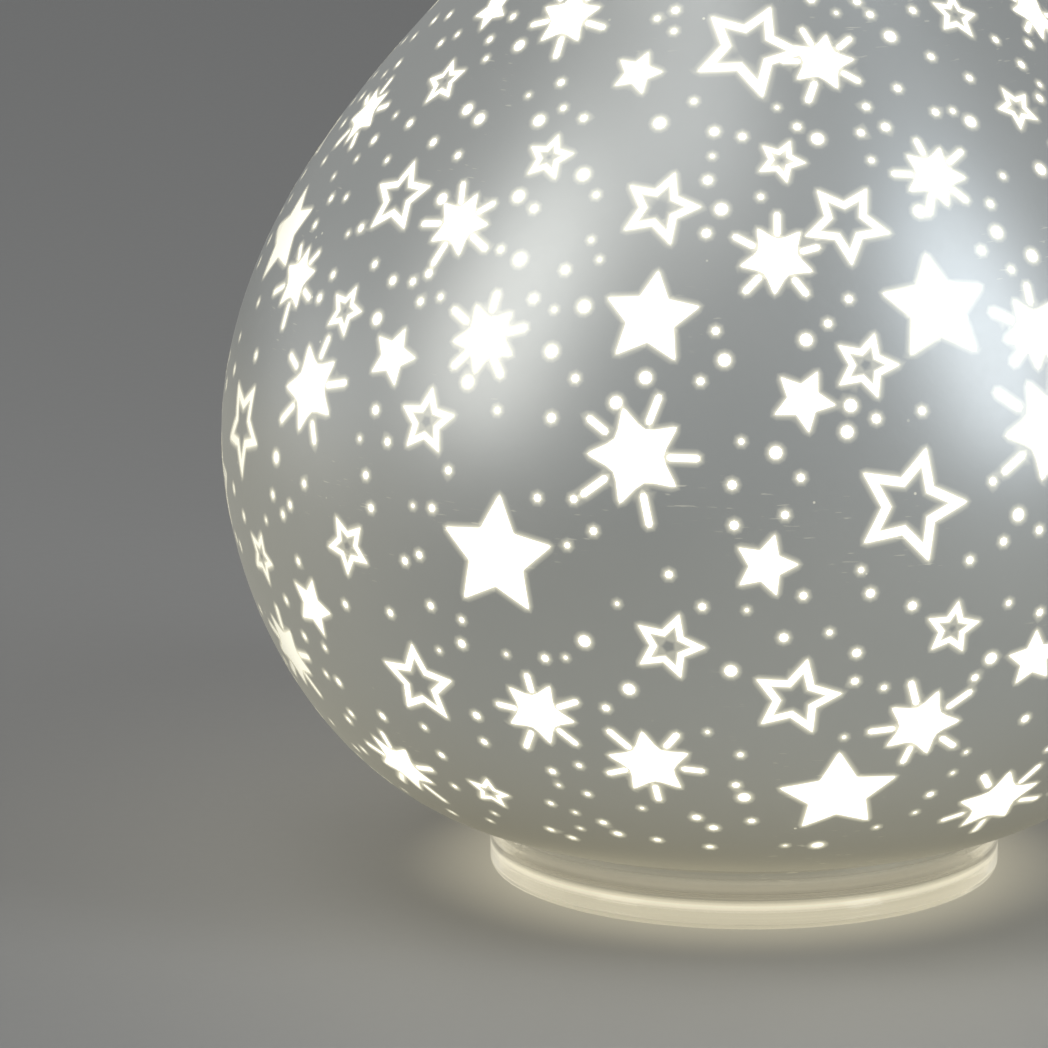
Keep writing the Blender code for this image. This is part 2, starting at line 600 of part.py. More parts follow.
def make_wires():
    """Insulated leads, held inside the unit all the way."""
    tab_top = TRAY_TOP_Z + 2 * MM + GAP + WIRE_RADIUS
    board_top = CONTROL_BOARD_Z + CONTROL_BOARD_THICKNESS + GAP + WIRE_RADIUS
    (minus_x, minus_y), (plus_x, plus_y) = terminal_exits()
    near_y, far_y = CONTROL_BOARD_Y - 5 * MM, CONTROL_BOARD_Y + 5 * MM
    wire("battery_lead_minus", [(minus_x, minus_y, tab_top),
                                (minus_x + 4 * MM, minus_y - MM, tab_top + MM),
                                (-17 * MM, -10 * MM, board_top + 0.8 * MM),
                                (-12 * MM, near_y, board_top)], WIRE_RADIUS, black_plastic)
    wire("battery_lead_plus", [(plus_x, plus_y, tab_top), (plus_x - 4 * MM, plus_y + MM, tab_top + MM),
                               (17 * MM, 8 * MM, board_top + 0.8 * MM), (12 * MM, far_y, board_top)],
         WIRE_RADIUS, red_plastic)
    switch_top = FLOOR_TOP_Z + GAP + SWITCH_BODY_HEIGHT + GAP + WIRE_RADIUS
    wire("switch_lead", [(2 * MM, SWITCH_Y, switch_top), (2 * MM, SWITCH_Y, switch_top + 5 * MM),
                         (3 * MM, SWITCH_Y - 4 * MM, board_top + 0.5 * MM),
                         (4 * MM, 12 * MM, board_top + MM), (4 * MM, far_y, board_top)],
         WIRE_RADIUS, white_plastic)
    led_under = LED_BOARD_Z - GAP
    for name, x, material in (("led_lead_minus", -1.1 * MM, black_plastic),
                              ("led_lead_plus", 1.1 * MM, red_plastic)):
        wire(name, [(x * 2.6, near_y, board_top), (x * 2.2, near_y - 0.4 * MM, board_top + 1.6 * MM),
                    (x, LEAD_HOLE_Y, COVER_BOTTOM_Z - 1.5 * MM), (x, LEAD_HOLE_Y, COVER_TOP_Z),
                    (x, LEAD_HOLE_Y, led_under)], WIRE_RADIUS, material)


clear_scene()
lamp = new_collection("glass_drop_lamp")
cutters = new_collection("cutters")

silver_glass = new_material("silver_glass", (0.60, 0.62, 0.61), 0.35, 0.6)
white_plastic = new_material("white_plastic", (0.86, 0.86, 0.83), 0.4)
milky_plastic = new_material("milky_plastic", (1.0, 0.95, 0.82), 0.5, glow=1.5)
soft_rubber = new_material("soft_rubber", (0.75, 0.75, 0.74), 0.7)
white_board = new_material("white_board", (0.88, 0.89, 0.86), 0.45)
green_board = new_material("green_board", (0.05, 0.22, 0.11), 0.45)
black_plastic = new_material("black_plastic", (0.03, 0.03, 0.03), 0.45)
red_plastic = new_material("red_plastic", (0.55, 0.03, 0.02), 0.45)
steel = new_material("steel", (0.60, 0.60, 0.60), 0.35, 1.0)
nickel = new_material("nickel", (0.70, 0.67, 0.60), 0.3, 1.0)
aluminium = new_material("aluminium", (0.75, 0.75, 0.76), 0.35, 1.0)
cell_jacket = new_material("cell_jacket", (0.12, 0.15, 0.2), 0.3, 0.3)
led_glow = new_material("led_glow", (1.0, 0.86, 0.62), 0.2, glow=4.0)

make_glass()
make_housing()
make_seal_ring()
make_cover()
make_cover_screws()
make_diffuser()
make_led_board()
make_leds()
make_batteries()
make_battery_contacts()
make_door()
make_switch()
make_control_board()
make_wires()
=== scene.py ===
import math
import random

import bpy
import numpy as np
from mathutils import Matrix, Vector
from mathutils.geometry import delaunay_2d_cdt
from mathutils.kdtree import KDTree


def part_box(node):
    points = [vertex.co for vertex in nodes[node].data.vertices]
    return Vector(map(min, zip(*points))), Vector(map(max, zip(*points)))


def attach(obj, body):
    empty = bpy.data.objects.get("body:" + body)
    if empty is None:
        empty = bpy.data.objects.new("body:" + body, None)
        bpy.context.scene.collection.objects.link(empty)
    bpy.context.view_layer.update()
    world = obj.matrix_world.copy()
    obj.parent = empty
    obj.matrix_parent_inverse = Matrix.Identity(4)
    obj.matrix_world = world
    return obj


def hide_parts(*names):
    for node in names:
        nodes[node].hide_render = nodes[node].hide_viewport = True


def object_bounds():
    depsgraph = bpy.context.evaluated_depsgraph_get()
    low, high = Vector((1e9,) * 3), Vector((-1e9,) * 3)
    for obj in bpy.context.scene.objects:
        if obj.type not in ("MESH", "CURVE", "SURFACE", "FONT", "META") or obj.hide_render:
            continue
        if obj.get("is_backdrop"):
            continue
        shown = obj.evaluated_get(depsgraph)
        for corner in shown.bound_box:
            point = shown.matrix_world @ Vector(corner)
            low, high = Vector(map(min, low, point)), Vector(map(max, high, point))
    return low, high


mm = 0.001

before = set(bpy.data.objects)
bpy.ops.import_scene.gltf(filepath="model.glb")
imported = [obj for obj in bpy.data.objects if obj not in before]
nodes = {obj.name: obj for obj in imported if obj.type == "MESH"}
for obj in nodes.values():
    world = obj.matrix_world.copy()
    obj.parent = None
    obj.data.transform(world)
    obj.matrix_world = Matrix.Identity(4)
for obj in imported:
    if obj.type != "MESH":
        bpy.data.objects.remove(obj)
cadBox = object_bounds()

cameraView = {
    "place": (0, -1.172, 0.3337),
    "aim": (-0.0382, 0, 0.0595),
    "lens": 240.5,
}


def makeCamera(view):
    data = bpy.data.cameras.new("camera")
    data.sensor_width = 36
    data.lens = view["lens"]
    camera = bpy.data.objects.new("camera", data)
    bpy.context.scene.collection.objects.link(camera)
    camera.location = view["place"]
    line = Vector(view["aim"]) - Vector(view["place"])
    camera.rotation_euler = line.to_track_quat("-Z", "Y").to_euler()
    bpy.context.scene.camera = camera


makeCamera(cameraView)
print("camera placed")


class Field:  # one shader socket: sums written with it become Math nodes
    def __init__(self, tree, socket):
        self.tree = tree
        self.socket = socket

    def feed(self, socket, value):
        if isinstance(value, Field):
            self.tree.links.new(value.socket, socket)
        else:
            socket.default_value = value

    def node(self, kind, links, settings=None, output=0):  # any other node, by its type
        made = self.tree.nodes.new(kind)
        for name, value in (settings or {}).items():
            setattr(made, name, value)
        for name, value in links.items():
            self.feed(made.inputs[name], value)
        return Field(self.tree, made.outputs[output])

    def maths(self, operation, *values):
        links = dict(enumerate((self, *values)))
        return self.node("ShaderNodeMath", links, {"operation": operation})

    def __add__(self, other):
        return self.maths("ADD", other)

    def __radd__(self, other):
        return self.maths("ADD", other)

    def __sub__(self, other):
        return self.maths("SUBTRACT", other)

    def __rsub__(self, other):
        return self.maths("MULTIPLY", -1).maths("ADD", other)

    def __mul__(self, other):
        return self.maths("MULTIPLY", other)

    def __rmul__(self, other):
        return self.maths("MULTIPLY", other)

    def ramp(self, low, high):  # 0 at low, 1 at high, eased between
        limits = {"From Min": low, "From Max": high}
        settings = {"interpolation_type": "SMOOTHSTEP"}
        return self.node("ShaderNodeMapRange", {"Value": self, **limits}, settings)

    def colours(self, first, second):  # this field is the share of the second colour
        links = {0: self, 6: first, 7: second}
        return self.node("ShaderNodeMix", links, {"data_type": "RGBA"}, 2)

    def stretched(self, scale):
        return self.node("ShaderNodeVectorMath", {0: self, 1: scale}, {"operation": "MULTIPLY"})

    def axis(self, name):
        return self.node("ShaderNodeSeparateXYZ", {0: self}, output="XYZ".index(name))

    def noise(self, grain, detail):  # grain is the size of one patch, in metres
        return self.node("ShaderNodeTexNoise", {"Vector": self, "Scale": 1 / grain, "Detail": detail})

    def cells(self, grain, feature="F1"):
        links = {"Vector": self, "Scale": 1 / grain}
        return self.node("ShaderNodeTexVoronoi", links, {"feature": feature})

    def bump(self, depth, strength):
        return self.node("ShaderNodeBump", {"Height": self, "Distance": depth, "Strength": strength})


def newMaterial(name, constants, recipe):
    made = bpy.data.materials.new(name)
    made.use_nodes = True
    tree = made.node_tree
    shader = tree.nodes["Principled BSDF"]
    for socket, value in constants.items():
        shader.inputs[socket].default_value = value
    place = Field(tree, tree.nodes.new("ShaderNodeTexCoord").outputs["Object"])
    for socket, field in recipe(place).items():
        tree.links.new(field.socket, shader.inputs[socket])
    return made


def haloField(place):  # painted halo round the clear shapes: 1 at the edge of a clear shape, 0 a short way into the coat
    return place.node("ShaderNodeAttribute", {}, {"attribute_name": "halo"}, 2)


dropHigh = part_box("glass_drop")[1]
drop = {  # a pair is a radius and a height unless its note says otherwise
    "radius": dropHigh[0],
    "height": dropHigh[2],
    "widest": 75.5 * mm,
    "foot": (43.5 * mm, 11 * mm),
    "fullness": 1.85,  # of the belly: 2 would make it a true ellipse
    "widestHandle": 42 * mm,
    "taper": (42 * mm, 162.5 * mm),
    "taperSide": (-0.6, 0.8),  # the way the side runs there
    "taperHandles": (18 * mm, 27 * mm),  # below and above
    "tipHandle": (3 * mm, -21 * mm),
    "tip": (5.5 * mm, 232 * mm),
    "bead": (44.6 * mm, 10.5 * mm),
    "collar": (44 * mm, 9.3 * mm),
    "wall": 2.6 * mm,
    "rimRound": 1.1 * mm,
    "bore": 41 * mm,
    "shoulder": (6 * mm, 9 * mm),  # heights where the bore starts and stops narrowing
    "throat": (38.5 * mm, 12.4 * mm),
    "throatEase": (1.5 * mm, 1.2 * mm),
    "throatGap": 0.2 * mm,
    "coatLow": 6.8 * mm,
    "coatFade": (7.3 * mm, 10.9 * mm),  # heights where the silver starts and is full
    "coatInset": 0.04 * mm,
    "starInset": 0.07 * mm,
    "wallInset": 0.25 * mm,
    "hollowBelly": 160 * mm,
    "hollowNeck": (162 * mm, 216 * mm),  # lowest and highest
    "hollowCap": 3 * mm,
}


def curveBetween(a, b, c, d, count):
    t = np.linspace(0, 1, count + 1)[1:, None]
    a, b, c, d = (np.array(p) for p in (a, b, c, d))
    return (1 - t) ** 3 * a + 3 * t * (1 - t) ** 2 * b + 3 * t * t * (1 - t) * c + t ** 3 * d


def dropOutline(count=160):  # radius and height of the outer side, from the collar up to the tip
    foot, taper, tip = (np.array(drop[name]) for name in ("foot", "taper", "tip"))
    angles = np.linspace(90, 0, count)
    power = 2 / drop["fullness"]
    across = np.maximum(np.cos(np.radians(angles)), 0) ** power
    down = np.sin(np.radians(angles)) ** power
    belly = np.stack([foot[0] + (drop["radius"] - foot[0]) * across,
                      drop["widest"] - (drop["widest"] - foot[1]) * down], 1)
    side = np.array(drop["taperSide"])
    below, above = drop["taperHandles"]
    widest = (drop["radius"], drop["widest"])
    rise = (drop["radius"], drop["widest"] + drop["widestHandle"])
    upper = curveBetween(widest, rise, taper - side * below, taper, count)
    neck = curveBetween(taper, taper + side * above, tip + drop["tipHandle"], tip, count)
    collar = np.array([(drop["collar"][0], drop["coatLow"]), drop["collar"], drop["bead"]])
    return np.concatenate([collar, belly, upper, neck])


class Skin:  # the drop's outer side rolled out flat, keeping every angle true
    def __init__(self, outline):
        self.radius, self.height = outline[:, 0], outline[:, 1]
        steps = np.hypot(np.diff(self.radius), np.diff(self.height))
        middle = (self.radius[1:] + self.radius[:-1]) / 2
        self.level = np.concatenate([[0], np.cumsum(steps / middle)])
        along = np.gradient(outline, axis=0)
        along /= np.linalg.norm(along, axis=1)[:, None]
        self.out, self.up = along[:, 1], -along[:, 0]
        even = np.linspace(0, self.level[-1], 1500)
        self.fineStep = even[1]
        self.fine = [(float(np.interp(level, self.level, self.radius)),
                      float(np.interp(level, self.level, self.height))) for level in even]

    def levelAt(self, height):
        return float(np.interp(height, self.height, self.level))

    def radiusAt(self, level):
        return float(np.interp(level, self.level, self.radius))

    def spot(self, turn, level):  # one place on the skin, quickly
        step = level / self.fineStep
        i = min(int(step), len(self.fine) - 2)
        share = step - i
        (radiusA, heightA), (radiusB, heightB) = self.fine[i], self.fine[i + 1]
        radius = radiusA + (radiusB - radiusA) * share
        height = heightA + (heightB - heightA) * share
        return Vector((radius * math.sin(turn), -radius * math.cos(turn), height))

    def at(self, turn, level, inset):  # turn in radians from the front, towards +X
        radius = np.interp(level, self.level, self.radius)
        height = np.interp(level, self.level, self.height)
        out = np.interp(level, self.level, self.out)
        up = np.interp(level, self.level, self.up)
        radius = radius - out * inset
        height = height - up * inset
        return np.stack([radius * np.sin(turn), -radius * np.cos(turn), height], -1)

    def normalAt(self, turn, level):
        out = np.interp(level, self.level, self.out)
        up = np.interp(level, self.level, self.up)
        normal = np.stack([out * np.sin(turn), -out * np.cos(turn), up], -1)
        return normal / np.linalg.norm(normal, axis=-1)[..., None]


skin = Skin(dropOutline())


# Star pattern: turn in degrees from the front, height, radius (millimetres) and tilt in degrees

frontStars = {
    "solid": [
        (-58, 153, 4, 25), (-19, 147, 4.2, 13), (-76, 114, 9, -23), (22, 113, 9.3, 0),
        (-11, 112, 8.1, 3), (-42.5, 102, 5, 14), (6, 100, 5.2, 28), (2, 74, 5.3, 16),
        (-26.5, 73, 10.3, 3), (-55, 57, 5.5, 20), (32.5, 55, 5.2, -5), (11.5, 32, 10, -5),
    ],
    "outline": [
        (43, 154, 4.5, 23), (0, 151, 9.2, 24), (-57, 142, 4.6, -22), (45, 140, 4.2, -13),
        (4.5, 135, 4, 25), (-29, 134, 4.3, 3), (-11.5, 128, 6.7, 15), (12.5, 126, 7.3, 36),
        (-51.5, 125, 7, -8), (-52.5, 107, 4.5, 11), (13, 105, 5.5, 20), (-36, 93, 5.6, 1),
        (17, 83, 9.7, 18), (-70.5, 83, 8.6, 28), (-46.5, 70, 5.2, -29), (-66, 62, 4.8, 23),
        (22, 62, 4.8, 8), (-8, 60, 6, 18), (5.5, 51, 7.5, 12), (-39, 48, 7.6, 4), (-35, 28, 4, 16),
    ],
    "rays": [
        (-37, 154, 6, -7), (66.5, 152, 6, -2), (12.5, 149, 5.6, 17), (-74.5, 134, 6, 31),
        (26, 132, 5.7, 28), (-39, 123, 5.9, 13), (3.5, 121, 6.2, -31), (-65.5, 109, 6, -6),
        (34, 108, 6.3, -26), (-30.5, 107, 6.1, -31), (-55, 94, 7.7, -27), (33.5, 93, 8.6, -20),
        (-11.5, 91, 8.3, -19), (-23.5, 46, 6.5, 27), (-66.5, 45, 7, -30), (20, 45, 6.9, 17),
        (-11, 38, 7.2, -6), (-50.5, 29, 7, -30), (35, 27, 8, -6),
    ],
}
frontDots = [
    (26.5, 152), (-44.5, 149), (-13.5, 140), (-33, 139), (35, 139), (-47.5, 139), (10, 138),
    (-44, 138), (-23, 132), (43.5, 131), (-3.5, 128), (-31.5, 128), (22.5, 127), (-43.5, 126),
    (32.5, 123), (-28.5, 119), (36.5, 119), (-19, 113), (6.5, 109), (-46.5, 107), (-2.5, 106),
    (-22, 106), (-11, 103), (-31.5, 100), (-14, 99), (11, 99), (10.5, 95), (3, 92), (-60, 81),
    (29, 80), (-17, 60), (27, 56), (-1.5, 56), (-12.5, 52), (0, 32), (10.5, 21),
]
pattern = {
    "seed": 11,
    "copyTurn": 148,  # how far round the listed stars come again, in degrees
    "fillStars": 700,  # tries, not stars
    "fillKinds": ("solid", "outline", "rays", "outline"),
    "fillDots": 9000,
    "frontTurn": -0.09,  # the listed stars: their middle and half width in radians, and their top
    "frontReach": 1.25,
    "frontTop": 156 * mm,
    "starSizes": (4.2 * mm, 9.0 * mm),
    "starShare": 0.24,  # largest star for the drop's radius there
    "leastStar": 2 * mm,
    "lowest": 17 * mm,
    "lowestDot": 19.5 * mm,
    "highest": 228 * mm,
    "seamGap": 1.2 * mm,
    "bigDot": 1.02 * mm,
    "dotSizes": (0.74 * mm, 0.64 * mm, 0.64 * mm, 0.5 * mm, 0.34 * mm),
    "dotGaps": (1.6 * mm, 2.1 * mm, 2.9 * mm),
    "starGap": 3.0 * mm,
    "notch": 0.5,
    "tipBend": 0.42,
    "sideShare": 0.4426,  # how far a side of a star lies from its centre
    "stroke": (0.105, 0.38 * mm),
    "rounding": {"solid": (0.1, 0.06), "outline": (0.08, 0), "hole": (0.06, 0), "rays": (0.16, 0.3)},
    "rayLean": 6,
    "rayStart": (0.7, -0.05, 0.1),  # usual share of the radius, and how far it strays
    "rayLength": (0.5, -0.12, 0.1),
    "rayHalf": (0.38 * mm, 0.022),
    "outlineStep": 1.3 * mm,
    "gridStep": 3.4 * mm,
    "gridShare": 0.26,
    "gridGap": 1.5 * mm,
    "footRows": (-1.5, -0.7, -0.3, 0, 0.3, 0.8, 1.8),  # millimetres from the drop's foot
    "haloRings": (0.45 * mm, 1.05 * mm),
    "ringGap": 0.85,
    "ringMerge": 0.8,
}
chance = random.Random(pattern["seed"])


def starPoints(radius, tilt, kind):
    roundTip, roundNotch = pattern["rounding"][kind]
    corners = []
    for i in range(10):
        reach = radius * (1 if i % 2 == 0 else pattern["notch"])
        angle = math.radians(tilt + 36 * i)
        corners.append(Vector((reach * math.sin(angle), reach * math.cos(angle))))
    points = []
    for i, corner in enumerate(corners):
        before, after = corners[i - 1], corners[(i + 1) % 10]
        cut = roundTip if i % 2 == 0 else roundNotch
        if cut:
            near, far = corner.lerp(before, cut), corner.lerp(after, cut)
            middle = (near + far) / 2
            points += [near, corner.lerp(middle, pattern["tipBend"]), far]
        else:
            points.append(corner)
    return points


def dashPoints(radius, angle, start, end, half):
    along = Vector((math.sin(angle), math.cos(angle)))
    across = Vector((along.y, -along.x))
    points = []
    for centre, side in ((end, 1), (start, -1)):
        for turn in (90, 30, -30, -90):
            bend = math.radians(turn)
            reach = centre * radius + side * half * math.cos(bend)
            points.append(along * reach + across * side * half * math.sin(bend))
    return points


def dotPoints(radius):
    count = max(7, round(radius / mm * 11))
    turns = [math.tau * i / count for i in range(count)]
    return [Vector((radius * math.sin(turn), radius * math.cos(turn))) for turn in turns]


def reachOf(kind, radius):  # how far a star keeps others away from its centre
    return radius * (1.2 if kind == "rays" else 0.95)


def clockwise(points):
    area = sum(a.cross(b) for a, b in zip(points, points[1:] + points[:1]))
    return points if area < 0 else points[::-1]


def dense(points, longest):  # the same outline with no side longer than longest
    filled = []
    for a, b in zip(points, points[1:] + points[:1]):
        parts = max(1, math.ceil((b - a).length / longest))
        filled += [a.lerp(b, i / parts) for i in range(parts)]
    return filled


def loosely(setting):
    usual, less, more = setting
    return usual + chance.uniform(less, more)


def clearOfSeam(turn, level, reach):
    return abs(turn) < math.pi - (reach + pattern["seamGap"]) / skin.radiusAt(level)


class Motifs:  # every clear shape in the coat, kept apart by their centres
    def __init__(self):
        self.shapes = []  # outer outline, inner outline or None
        self.taken = []

    def room(self, turn, level, reach, gap):
        place = skin.spot(turn, level)
        return all((place - other).length > reach + size + gap for other, size in self.taken)

    def claim(self, turn, level, reach):
        self.taken.append((skin.spot(turn, level), reach))

    def add(self, turn, level, outer, inner=None):
        scale = skin.radiusAt(level)
        outlines = []
        for points in (outer, inner):
            fine = points and dense(clockwise(points), pattern["outlineStep"])
            outlines.append(fine and [(turn + p.x / scale, level + p.y / scale) for p in fine])
        self.shapes.append(tuple(outlines))

    def star(self, kind, turn, level, radius, tilt):
        inner = None
        if kind == "outline":
            share, least = pattern["stroke"]
            stroke = share * radius + least
            edge = pattern["sideShare"] * radius
            inner = starPoints(radius * (edge - stroke) / edge, tilt, "hole")
        self.add(turn, level, starPoints(radius, tilt, kind), inner)
        if kind == "rays":
            lean, (least, share) = pattern["rayLean"], pattern["rayHalf"]
            half = least + share * radius
            for i in range(5):
                angle = math.radians(tilt + 36 + 72 * i + chance.uniform(-lean, lean))
                start, length = loosely(pattern["rayStart"]), loosely(pattern["rayLength"])
                self.add(turn, level, dashPoints(radius, angle, start, start + length, half))
        self.claim(turn, level, reachOf(kind, radius))

    def dot(self, turn, level, radius):
        self.add(turn, level, dotPoints(radius))
        self.claim(turn, level, radius)


def layMotifs():
    motifs = Motifs()
    listed = [(kind, *star) for kind, stars in frontStars.items() for star in stars]
    for kind, turn, height, radius, tilt in listed:
        motifs.star(kind, math.radians(turn), skin.levelAt(height * mm), radius * mm, tilt)
    for turn, height in frontDots:
        motifs.dot(math.radians(turn), skin.levelAt(height * mm), pattern["bigDot"])
    for kind, turn, height, radius, tilt in listed:  # the same stars again behind
        around = math.radians((turn + pattern["copyTurn"] + 180) % 360 - 180)
        level = skin.levelAt(height * mm)
        reach = reachOf(kind, radius * mm)
        if clearOfSeam(around, level, reach) and motifs.room(around, level, reach, pattern["starGap"]):
            motifs.star(kind, around, level, radius * mm, tilt)
    lowest, highest = skin.levelAt(pattern["lowest"]), skin.levelAt(pattern["highest"])
    lowestDot, frontTop = skin.levelAt(pattern["lowestDot"]), skin.levelAt(pattern["frontTop"])
    for i in range(pattern["fillStars"]):
        turn, level = chance.uniform(-math.pi, math.pi), chance.uniform(lowest, highest)
        radius = min(chance.uniform(*pattern["starSizes"]), pattern["starShare"] * skin.radiusAt(level))
        kind = pattern["fillKinds"][i % len(pattern["fillKinds"])]
        tilt = chance.uniform(-36, 36)
        reach = reachOf(kind, radius)
        clearOfFoot = level - reach / skin.radiusAt(level) > lowest
        front = abs(turn - pattern["frontTurn"]) < pattern["frontReach"] and level < frontTop
        if clearOfFoot and not front and clearOfSeam(turn, level, reach):
            if motifs.room(turn, level, reach, pattern["starGap"]) and radius > pattern["leastStar"]:
                motifs.star(kind, turn, level, radius, tilt)
    for i in range(pattern["fillDots"]):
        turn, level = chance.uniform(-math.pi, math.pi), chance.uniform(lowest, highest)
        if chance.uniform(0, drop["radius"]) > skin.radiusAt(level):
            continue
        radius = pattern["dotSizes"][i % len(pattern["dotSizes"])]
        if level < lowestDot:
            continue
        gap = chance.choice(pattern["dotGaps"])
        if clearOfSeam(turn, level, radius) and motifs.room(turn, level, radius, gap):
            motifs.dot(turn, level, radius)
    return motifs


motifs = layMotifs()
print("pattern laid:", len(motifs.shapes), "shapes")


def nearestOutline(motifs):  # finds how far any place on the skin is from a clear shape's edge
    places = []
    for shape in motifs.shapes:
        for outline in filter(None, shape):
            for (turnA, levelA), (turnB, levelB) in zip(outline, outline[1:] + outline[:1]):
                for share in (0, 1 / 3, 2 / 3):
                    places.append(skin.spot(turnA + (turnB - turnA) * share,
                                            levelA + (levelB - levelA) * share))
    tree = KDTree(len(places))
    for i, place in enumerate(places):
        tree.insert(place, i)
    tree.balance()
    return tree


edges = nearestOutline(motifs)


def edgeDistance(turn, level):
    return edges.find(skin.spot(turn, level))[2]


def ringPoints():  # free points round each shape, where the glow fades out
    taken = set()
    for outer, inner in motifs.shapes:
        for outline, side in ((outer, 1), (inner, -1)):
            if not outline:
                continue
            scale = skin.radiusAt(outline[0][1])
            corners = list(zip(outline[-1:] + outline[:-1], outline, outline[1:] + outline[:1]))
            for away in pattern["haloRings"]:
                for before, here, after in corners:
                    along = Vector((after[0] - before[0], after[1] - before[1])).normalized()
                    out = Vector((-along.y, along.x)) * side * away / scale
                    turn, level = here[0] + out.x, here[1] + out.y
                    if edgeDistance(turn, level) < pattern["ringGap"] * away:
                        continue
                    grain = pattern["ringMerge"] * away
                    cell = tuple(round(c / grain) for c in skin.spot(turn, level))
                    if cell not in taken:
                        taken.add(cell)
                        yield turn, level


def gridStepAt(level):
    radius = skin.radiusAt(level)
    return min(pattern["gridStep"], pattern["gridShare"] * radius) / radius


def gridPoints():  # rows of points up the skin, with extra rows round the foot
    level, top = 0.0, skin.levelAt(drop["tip"][1])
    levels = []
    while level < top:
        levels.append(level)
        level += gridStepAt(level)
    levels[-1] = top
    foot = skin.levelAt(drop["foot"][1])
    for extra in pattern["footRows"]:
        levels.append(foot + extra * mm / drop["foot"][0])
    for row, level in enumerate(sorted(levels)):
        count = 2 * round(math.pi / gridStepAt(level))
        end = level in (0.0, top)
        shift = 0.5 * (row % 2) * (not end)
        between = [-math.pi + math.tau * (i + shift) / count for i in range(1, count)]
        for turn in (-math.pi, *between, math.pi):
            yield turn, level, abs(turn) == math.pi or end


def triangulate():
    points, outlines, clearIds, holes = [], [], set(), {}
    for outer, inner in motifs.shapes:
        for outline in (outer, inner):
            if outline:
                outlines.append(list(range(len(points), len(points) + len(outline)))[::-1])
                points += outline
        if inner:
            holes[len(outlines) - 2] = len(outlines) - 1
        else:
            clearIds.add(len(outlines) - 1)
    points += ringPoints()
    for turn, level, border in gridPoints():
        if border or edgeDistance(turn, level) > pattern["gridGap"]:
            points.append((turn, level))
    flat = [Vector(p) for p in points]
    verts, _, faces, _, _, origins = delaunay_2d_cdt(flat, [], outlines, 0, 1e-7, True)
    clear = []
    for ids in origins:
        ids = set(ids)
        ring = any(holes[outer] not in ids for outer in ids & holes.keys())
        clear.append(bool(ids & clearIds) or ring)
    return np.array([tuple(v) for v in verts]), faces, clear


def addPiece(name, mesh, material, body):
    piece = bpy.data.objects.new(name, mesh)
    bpy.context.scene.collection.objects.link(piece)
    mesh.materials.clear()
    mesh.materials.append(material)
    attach(piece, body)
    return piece


def skinMesh(name, flat, faces, inset, tip):
    used = sorted({v for face in faces for v in face})
    rank = {v: i for i, v in enumerate(used)}
    turns, levels = flat[used, 0], flat[used, 1]
    coords = skin.at(turns, levels, inset)
    normals = skin.normalAt(turns, levels)
    reach = pattern["haloRings"][-1]
    halo = [max(0, 1 - edgeDistance(*place) / reach) ** 2 for place in flat[used]]
    faces = [[rank[v] for v in face] for face in faces]
    mesh = bpy.data.meshes.new(name)
    if tip:
        coords, normals, halo, faces = addTip(coords, normals, halo, faces, turns, levels, inset)
    mesh.from_pydata([tuple(c) for c in coords], [], faces)
    mesh.polygons.foreach_set("use_smooth", [True] * len(mesh.polygons))
    glow = mesh.attributes.new("halo", "FLOAT", "POINT")
    glow.data.foreach_set("value", halo)
    mesh.normals_split_custom_set_from_vertices([tuple(n) for n in normals])
    return mesh


def addTip(coords, normals, halo, faces, turns, levels, inset):  # rounds the drop off above the last row
    top = levels.max()
    ring = sorted((i for i in range(len(levels)) if levels[i] == top), key=lambda i: turns[i])
    radius, rise = drop["tip"][0] - inset, drop["height"] - drop["tip"][1] - inset
    coords, normals = [tuple(c) for c in coords], [tuple(n) for n in normals]
    for step in range(1, 7):
        angle = math.radians(15 * step)
        fresh = []
        for i in ring:
            flatRadius = radius * math.cos(angle)
            turn = turns[i]
            fresh.append(len(coords))
            coords.append((flatRadius * math.sin(turn), -flatRadius * math.cos(turn),
                           drop["tip"][1] + rise * math.sin(angle)))
            slope = Vector((math.cos(angle) / radius, math.sin(angle) / rise)).normalized()
            normals.append((slope.x * math.sin(turn), -slope.x * math.cos(turn), slope.y))
            halo.append(0)
        last = ring if step == 1 else previous
        for a, b, c, d in zip(last, last[1:], fresh[1:], fresh):
            faces.append([a, b, c, d])
        previous = fresh
        turns = np.append(turns, [turns[i] for i in ring])
    return coords, normals, halo, faces


coatLook = {  # a pair of lengths is where a change starts and where it is full
    "cloudGrain": 38 * mm,
    "fineGrain": 1.1 * mm,
    "shades": ((0.56, 0.60, 0.62, 1), (0.64, 0.665, 0.67, 1)),
    "paintedLowShade": (0.555, 0.55, 0.50, 1),
    "lowFade": (52 * mm, 12 * mm),
    "paintedFootShade": (0.44, 0.43, 0.38, 1),
    "footFade": (24 * mm, 13 * mm),
    "glow": (1.0, 0.94, 0.68, 1),
    "glowFade": (115 * mm, 45 * mm),
    "hemGlow": (12.5 * mm, 8.5 * mm),
    "litFlank": (-40 * mm, -84 * mm),
    "litFlankTop": (100 * mm, 80 * mm),
    "speckGrain": 5.5 * mm,
    "speckPatches": 26 * mm,
    "speckFoot": (18 * mm, 24 * mm),
    "scratchGrain": 0.35 * mm,
    "scratchPatches": 24 * mm,
}


